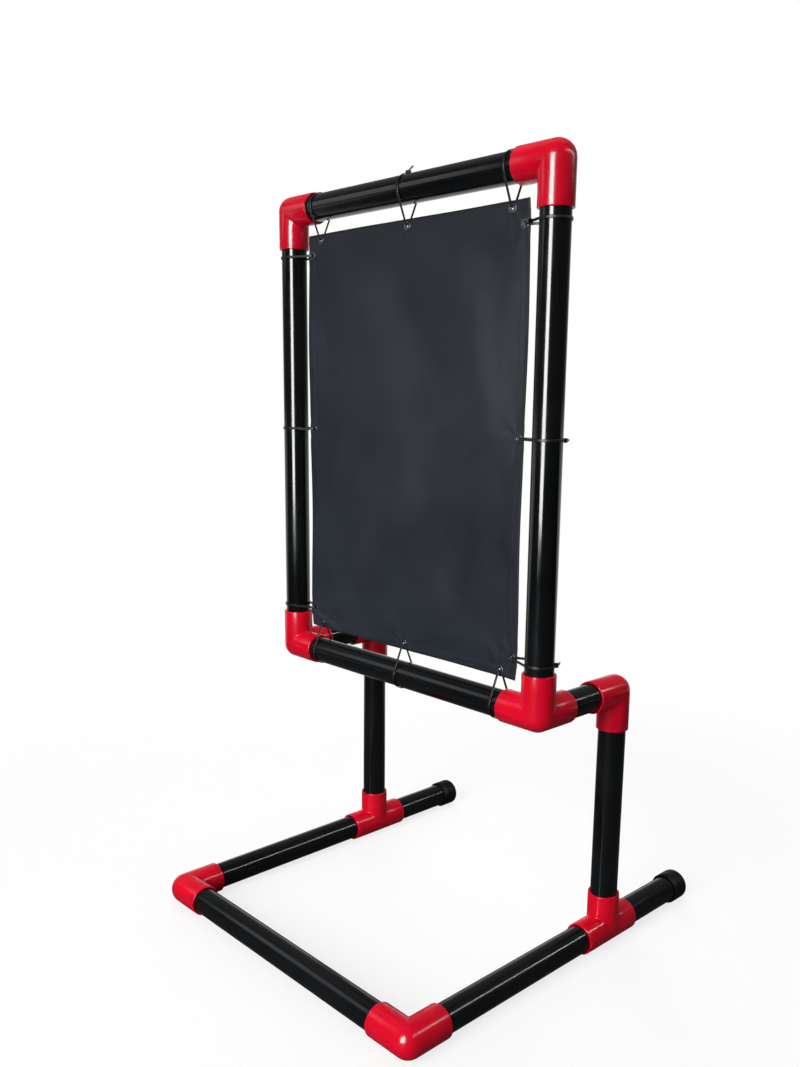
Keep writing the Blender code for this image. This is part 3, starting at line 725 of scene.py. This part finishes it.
class TARGET_OT_sheet(Operator):
    """Make the hanging sheet"""

    bl_idname = "target.sheet"
    bl_label = "Sheet"

    hole_radius = 0.0043

    def execute(self, context):
        settings = context.scene.target_sheet
        node = "target_sheet"
        eyelets = [middle_and_size(name)[0] for name in frame["nodes"] if name.startswith("eyelet_")]
        middle = Vector((0, eyelets[0].y, middle_and_size(node)[0].z))
        holes = [eyelet - middle for eyelet in eyelets]
        shape = bmesh.new()
        shape.loops.layers.uv.new("flat")
        columns, rows = round(SHEET_WIDTH / settings.cell), round(SHEET_HEIGHT / settings.cell)
        upright = Matrix.Rotation(QUARTER_TURN, 4, "X") @ Matrix.Diagonal((HALF_WIDTH, HALF_HEIGHT, 1, 1))
        bmesh.ops.create_grid(
            shape, x_segments=columns, y_segments=rows, size=1, matrix=upright, calc_uvs=True
        )
        for hole in holes:
            self.cut_hole(shape, hole)
        for vertex in shape.verts:
            vertex.co = self.hung(vertex.co, holes, settings)
        bmesh.ops.recalc_face_normals(shape, faces=shape.faces)
        place_shape(shape, middle)
        finish = cloth_finish(settings)
        piece = finish_piece("target_sheet_cloth", shape, finish, node, sharp=80, closed=False)
        thicken = piece.modifiers.new("Thickness", "SOLIDIFY")
        thicken.thickness = settings.thickness
        thicken.offset = 0
        return {"FINISHED"}

    def cut_hole(self, shape, centre):
        """Opens a round hole in the grid, under an eyelet's flange."""
        radius = self.hole_radius
        inside = [face for face in shape.faces if (face.calc_center_median() - centre).length < radius]
        bmesh.ops.delete(shape, geom=inside, context="FACES")
        for vertex in shape.verts:
            away = vertex.co - centre
            if vertex.is_boundary and away.length < radius * 2:
                vertex.co = centre + away.normalized() * radius

    def hung(self, point, holes, settings):
        """Where a point of the flat sheet hangs: folds, leaning edges, pleats, a crease and bent corners."""
        stand_off = self.folds(point, settings) + self.edge_lean(point) * settings.edge_wave
        stand_off += self.pleats(point, holes) + self.crease(point)
        return self.bent(point) + Y_AXIS * stand_off

    def folds(self, point, settings):
        """Long soft folds, and low ones in the lower half that lean the other way, inside a flat border."""
        border, run = 0.018, 0.070
        right, high = point.x / HALF_WIDTH, point.z / HALF_HEIGHT
        # How far a point is in the lower half, and a shift that bends the folds by up to an eighth of one
        low = smooth_rise((0.27 - high) / 0.4)
        shift = 0.25 * math.tanh((0.6 * right + 0.85 * high - 0.6) / 0.25) * (1 - low)
        depth = settings.belly * (1 - 0.55 * low) * (1 - 0.3 * smooth_rise((right - 0.3) / 0.5))
        stand_off = depth * math.sin(math.pi * (1.6 * right + 0.9 * high + shift))
        stand_off += settings.low_belly * low * math.sin(math.pi * (3.5 * right - 2.3 * high - 0.72))
        side_fade = smooth_rise((HALF_WIDTH - border - abs(point.x)) / run)
        end_fade = smooth_rise((HALF_HEIGHT - border - abs(point.z)) / run)
        return stand_off * side_fade * end_fade

    def edge_lean(self, point):
        """The free edges lean forwards and back between the ties, as a share of their depth."""
        reach, end_share = 0.045, 0.7
        side_tie_gap, side_shift, end_tie_gap = 0.265, 0.014, 0.194
        near_side = 1 - smooth_rise((HALF_WIDTH - abs(point.x)) / reach)
        near_end = 1 - smooth_rise((HALF_HEIGHT - abs(point.z)) / reach)
        side = math.sin(math.pi * (point.z - side_shift) / side_tie_gap) * math.copysign(1, point.x)
        end = math.sin(math.pi * point.x / end_tie_gap)
        return near_side * side * abs(side) + near_end * end * abs(end) * end_share

    def pleats(self, point, holes):
        """Small pleats that run from each eyelet towards the middle of the sheet."""
        start, rise, fall, depth, count = 0.006, 0.008, 0.045, 0.00035, 7
        height = 0
        for index, hole in enumerate(holes):
            away = point - hole
            past = away.length - start
            if 0 < past < rise + fall:
                angle = math.atan2(away.z, away.x)
                strength = smooth_rise(past / rise) * (1 - smooth_rise((past - rise) / fall))
                height += depth * strength * math.sin(count * angle + index)
        return height

    def bent(self, point):
        """A point of the flat sheet, turned if it lies on the flap at one of the bent corners."""
        width, height, radius = 0.026, 0.022, 0.012
        for side, end, turn in BENT_CORNERS:
            corner = Vector((side * HALF_WIDTH, 0, end * HALF_HEIGHT))
            inward = Vector((-side * height, 0, -end * width)).normalized()
            past = width * height / math.hypot(width, height) - (point - corner).dot(inward)
            if past > 0:
                angle = min(past / radius, abs(turn))
                straight = max(past - radius * abs(turn), 0)
                shift = inward * (past - radius * math.sin(angle) - straight * math.cos(angle))
                back = radius * (1 - math.cos(angle)) + straight * math.sin(angle)
                return point + shift + Y_AXIS * math.copysign(back, turn)
        return point.copy()

    def crease(self, point):
        """A worn ridge over the lower left corner, from the side edge to the bottom edge."""
        width, height, depth, half_thickness = 0.078, 0.024, 0.0022, 0.0036
        reach, run = 0.095, 0.03
        along, above = point.x + HALF_WIDTH, point.z + HALF_HEIGHT
        from_line = (along / width + above / height - 1) / math.hypot(1 / width, 1 / height)
        fade = smooth_rise((reach - math.hypot(along, above)) / run)
        return -depth * fade * math.exp(-((from_line / half_thickness) ** 2))


class TARGET_OT_eyelets(Operator):
    """Make the eyelets that are pressed into the sheet"""

    bl_idname = "target.eyelets"
    bl_label = "Eyelets"

    def execute(self, context):
        finish = eyelet_finish(context.scene.target_sheet)
        for edge, _, spots in EDGES:
            for spot in spots:
                node = f"eyelet_{edge}_{spot}"
                middle, size = middle_and_size(node)
                shape = turned_shape(self.profile(size.z / 2, size.y / 2), 40, closed=True)
                place_shape(shape, middle, turn_to(Y_AXIS))
                finish_piece(f"{node}_ring", shape, finish, node, sharp=60)
        return {"FINISHED"}

    def profile(self, flange, half_length):
        """A pressed eyelet's section: a rolled flange on each face and a thin barrel."""
        bore, barrel, grip = 0.00235, 0.0040, 0.0009
        roll = (half_length - grip) / 2
        rim = [
            (barrel, grip),
            (flange - roll, grip),
            (flange - roll * 0.3, grip + roll * 0.4),
            (flange, grip + roll),
            (flange - roll * 0.4, half_length - roll * 0.3),
            (flange - roll * 1.6, half_length),
            (bore + roll * 1.6, half_length),
            (bore + roll * 0.4, half_length - roll * 0.4),
            (bore, half_length - roll * 1.8),
        ]
        return rim + mirrored(rim)


class TARGET_OT_ties(Operator):
    """Make the looped ties with their locking heads and trimmed tails"""

    bl_idname = "target.ties"
    bl_label = "Ties"

    # The strap's middle line: its radius round the pipe, and the radius and the centre of its bend
    pipe_radius = 0.02105
    bend_radius = 0.004
    bend_centre = 0.0434

    head_size = (0.006, 0.0044, 0.0058)
    tail_length = 0.012
    tail_steps = 24

    def execute(self, context):
        settings = context.scene.target_ties
        finish = tie_finish(settings)
        for edge, toward, spots in EDGES:
            pipe = middle_and_size(f"frame_pipe_{edge}")[0]
            along = Y_AXIS.cross(toward)
            turn = turn_onto(toward, along.cross(toward), along)
            for spot in spots:
                eyelet = middle_and_size(f"eyelet_{edge}_{spot}")[0]
                place = pipe + along * (eyelet - pipe).dot(along)
                node = f"tie_{edge}_{spot}"
                shape = self.tie_shape(settings, *HEADS.get((edge, spot), HEAD_BEHIND))
                place_shape(shape, place, turn)
                finish_piece(f"{node}_strap", shape, finish, node, sharp=45)
        return {"FINISHED"}

    @property
    def lean(self):
        """The angle of the straight strands to the line from the pipe to the eyelet."""
        return math.asin((self.pipe_radius - self.bend_radius) / self.bend_centre)

    def section(self, settings):
        """The strap's section as (outward, along the pipe) points: round edges and a groove outside."""
        half_width, half_depth = settings.width / 2, settings.thickness / 2
        ease = half_depth * 0.5
        groove = half_width * 0.55
        side = (
            (half_depth, half_width - ease),
            (half_depth - ease, half_width),
            (-half_depth + ease, half_width),
            (-half_depth, half_width - ease),
        )
        hollow = ((half_depth, -groove), (half_depth * 0.5, -groove * 0.8))
        return (*side, *mirrored(side), *hollow, *mirrored(hollow))

    def strap_shape(self, settings):
        """A closed loop round the pipe and through the eyelet, swept from its section."""
        pipe_steps, bend_steps, strand_steps = 44, 16, 4
        start = QUARTER_TURN - self.lean
        outward = around(start)
        shape = bmesh.new()
        first = [
            shape.verts.new(outward * (self.pipe_radius + depth) + Z_AXIS * width)
            for depth, width in self.section(settings)
        ]
        edges = [shape.edges.new((first[i - 1], first[i])) for i in range(len(first))]
        bend = X_AXIS * self.bend_centre
        below = Vector((outward.x, -outward.y, 0))
        run = bend + below * (self.bend_radius - self.pipe_radius)
        back = -(bend + outward * (self.bend_radius - self.pipe_radius))
        loop = self.swept(shape, first + edges, (0, 0, 0), FULL_TURN - 2 * start, pipe_steps)
        for _ in range(strand_steps):
            loop = self.moved(shape, loop, run / strand_steps)
        loop = self.swept(shape, loop, bend, 2 * start, bend_steps)
        for _ in range(strand_steps - 1):
            loop = self.moved(shape, loop, back / strand_steps)
        last = [item for item in loop if isinstance(item, bmesh.types.BMEdge)]
        bmesh.ops.bridge_loops(shape, edges=edges + last)
        bmesh.ops.recalc_face_normals(shape, faces=shape.faces)
        return shape

    def swept(self, shape, loop, centre, angle, steps):
        """Turns the open end of the strap about an axis along the pipe, and returns the new end."""
        made = bmesh.ops.spin(shape, geom=loop, cent=centre, axis=Z_AXIS, angle=angle, steps=steps)
        return made["geom_last"]

    def moved(self, shape, loop, shift):
        """Runs the open end of the strap straight on, and returns the new end."""
        edges = [item for item in loop if isinstance(item, bmesh.types.BMEdge)]
        made = bmesh.ops.extrude_edge_only(shape, edges=edges)["geom"]
        fresh = [item for item in made if isinstance(item, bmesh.types.BMVert)]
        bmesh.ops.translate(shape, verts=fresh, vec=shift)
        ends = [item for item in made if isinstance(item, bmesh.types.BMEdge)]
        return fresh + [edge for edge in ends if all(end in fresh for end in edge.verts)]

    def loop_point(self, share):
        """The point and direction at a share of the loop, on its front strand or round the pipe."""
        start = QUARTER_TURN - self.lean
        straight = self.bend_centre * math.cos(self.lean)
        bend_length = 2 * start * self.bend_radius
        pipe_length = (FULL_TURN - 2 * start) * self.pipe_radius
        past_bend = share * (bend_length + pipe_length + 2 * straight) - bend_length
        if past_bend < straight:
            outward = around(start)
            forward = Z_AXIS.cross(outward)
            return X_AXIS * self.bend_centre + outward * self.bend_radius + forward * past_bend, forward
        outward = around(start + (past_bend - straight) / self.pipe_radius)
        return outward * self.pipe_radius, Z_AXIS.cross(outward)

    def tie_shape(self, settings, head_share, tail_turn):
        """The strap, its head and its tail, in the loop's own frame."""
        shape = self.strap_shape(settings)
        seat, forward = self.loop_point(head_share)
        outward = forward.cross(Z_AXIS)
        height = self.head_size[1]
        centre = seat + outward * (height / 2 - settings.thickness / 2)
        tail_forward = Matrix.Rotation(tail_turn, 3, "Z") @ forward
        for part, place, way in (
            (self.head_shape(), centre, forward),
            (self.tail_shape(settings), centre + outward * (height / 4), tail_forward),
        ):
            place_shape(part, place, turn_onto(way, Z_AXIS.cross(way), Z_AXIS))
            join_shape(shape, part)
        return shape

    def head_shape(self):
        """A locking head along X: a rounded block with a window in its outer face and a mouth at each end."""
        size = self.head_size
        height = size[1]
        rim, slope, depth = height * 0.24, height * 0.03, height * 0.18
        shape = bmesh.new()
        bmesh.ops.create_cube(shape, size=1, matrix=Matrix.Diagonal((*size, 1)))
        openings = [face for face in shape.faces if face.normal.y < -0.5 or abs(face.normal.x) > 0.5]
        for face in openings:
            bmesh.ops.inset_region(shape, faces=[face], thickness=rim, depth=0)
            bmesh.ops.inset_region(shape, faces=[face], thickness=slope, depth=-depth)
        corners = [
            edge
            for edge in shape.edges
            if all(self.is_outside(end.co, size) for end in edge.verts) and edge.calc_face_angle(0) > 1
        ]
        round_edges(shape, corners, height * 0.12, 3)
        return shape

    def is_outside(self, point, size):
        """Whether a point lies on the outside of a block."""
        return max(abs(point[i]) / size[i] for i in range(3)) > 0.499

    def tail_shape(self, settings):
        """A ribbed tail along X, cut off square."""
        length, thickness, width = self.tail_length, settings.thickness, settings.width * 0.88
        shape = bmesh.new()
        size = Matrix.Diagonal((length, thickness, width, 1))
        bmesh.ops.create_cube(shape, size=1, matrix=Matrix.Translation((length / 2, 0, 0)) @ size)
        long_edges = [edge for edge in shape.edges if edge.calc_length() > length / 2]
        bmesh.ops.subdivide_edges(shape, edges=long_edges, cuts=self.tail_steps - 1, use_grid_fill=True)
        for vertex in shape.verts:
            step = round(vertex.co.x / length * self.tail_steps)
            if step % 2 and vertex.co.y > 0:
                vertex.co.y -= thickness * 0.22
        return shape


class TARGET_OT_stage(Operator):
    """Make the floor, the lights, the surround and the camera"""

    bl_idname = "target.stage"
    bl_label = "Studio"

    def execute(self, context):
        settings = context.scene.target_stage
        context.scene.view_settings.view_transform = "Standard"
        self.make_floor(settings)
        self.make_surround(context, settings)
        for lamp in COLOUR_LAMPS:
            self.make_lamp(context, settings, *lamp).visible_glossy = False
        for lamp in GLOSS_LAMPS:
            self.make_lamp(context, settings, *lamp).visible_diffuse = False
        self.make_camera(context)
        return {"FINISHED"}

    def make_floor(self, settings):
        """A pale floor that keeps the shadow, and turns to plain white away from the object."""
        shape = bmesh.new()
        bmesh.ops.create_circle(shape, cap_ends=True, radius=30, segments=96)
        object_of("floor", shape, floor_finish(settings))

    def make_surround(self, context, settings):
        """Soft light from all round, dimmer at the front, seen as plain white."""
        world = bpy.data.worlds.new("surround")
        context.scene.world = world
        world.use_nodes = True
        tree = Tree(world.node_tree, "Generated")
        soft = tree.ranged(tree.behind(0.1, 0.5), 0, 1, settings.front, settings.surround)
        background = tree.nodes["Background"].inputs
        tree.feed(background["Color"], (1, 1, 1, 1))
        tree.feed(background["Strength"], tree.ranged(tree.seen(0.55, 0.9), 0, 1, soft, 1))

    def make_lamp(self, context, settings, name, place, target, size, along, spread=180):
        """A rectangular soft light that faces a point, with its width along an axis."""
        lamp = bpy.data.lights.new(name, "AREA")
        lamp.shape = "RECTANGLE"
        lamp.size, lamp.size_y = size
        lamp.spread = math.radians(spread)
        lamp.energy = getattr(settings, f"{name}_power")
        item = bpy.data.objects.new(name, lamp)
        item.location = place
        facing = (Vector(place) - Vector(target)).normalized()
        across = (along - facing * along.dot(facing)).normalized()
        item.rotation_euler = turn_onto(across, facing.cross(across), facing).to_euler()
        context.scene.collection.objects.link(item)
        return item

    def make_camera(self, context):
        """The photograph's view: from the front right, a little above the middle, rolled under a degree."""
        camera = bpy.data.cameras.new("camera")
        camera.lens = 33.36
        camera.shift_x = -0.0166
        camera.shift_y = 0.0526
        item = bpy.data.objects.new("camera", camera)
        yaw, pitch, roll = (math.radians(angle) for angle in (46.289, -10.985, 0.679))
        turn = Matrix.Rotation(yaw, 3, "Z") @ Matrix.Rotation(QUARTER_TURN + pitch, 3, "X")
        item.rotation_euler = (turn @ Matrix.Rotation(roll, 3, "Z")).to_euler()
        item.location = (1.0626, -1.0489, 0.8082)
        context.scene.collection.objects.link(item)
        context.scene.camera = item


class TARGET_PT_panel(Panel):
    """Sizes, colours and buttons for each kind of piece"""

    bl_idname = "TARGET_PT_panel"
    bl_label = "Pitching target"
    bl_space_type = "VIEW_3D"
    bl_region_type = "UI"
    bl_category = "Pitching target"

    def draw(self, context):
        for group, _, operators in STEPS:
            settings = getattr(context.scene, group)
            box = self.layout.box()
            for name in settings.bl_rna.properties.keys():
                if name not in ("rna_type", "name"):
                    box.prop(settings, name)
            for operator in operators:
                box.operator(operator)


# Each group of settings and the operators that use it, in the order in which they run
STEPS = (
    ("target_pipes", PipeSettings, ("target.pipes",)),
    ("target_fittings", FittingSettings, ("target.fittings", "target.caps")),
    ("target_ties", TieSettings, ("target.ties",)),
    ("target_sheet", SheetSettings, ("target.sheet", "target.eyelets")),
    ("target_stage", StageSettings, ("target.stage",)),
)
CLASSES = (
    *(group for _, group, _ in STEPS),
    TARGET_OT_pipes,
    TARGET_OT_fittings,
    TARGET_OT_caps,
    TARGET_OT_ties,
    TARGET_OT_sheet,
    TARGET_OT_eyelets,
    TARGET_OT_stage,
    TARGET_PT_panel,
)


def register():
    """Adds the settings, the operators and the panel."""
    for item in CLASSES:
        bpy.utils.register_class(item)
    for name, group, _ in STEPS:
        setattr(bpy.types.Scene, name, PointerProperty(type=group))


def unregister():
    """Removes what register added."""
    for name, _, _ in STEPS:
        delattr(bpy.types.Scene, name)
    for item in reversed(CLASSES):
        bpy.utils.unregister_class(item)


def main():
    """Makes every piece and the studio."""
    register()
    for _, _, operators in STEPS:
        for operator in operators:
            group, name = operator.split(".")
            getattr(getattr(bpy.ops, group), name)()


if __name__ == "__main__":
    main()
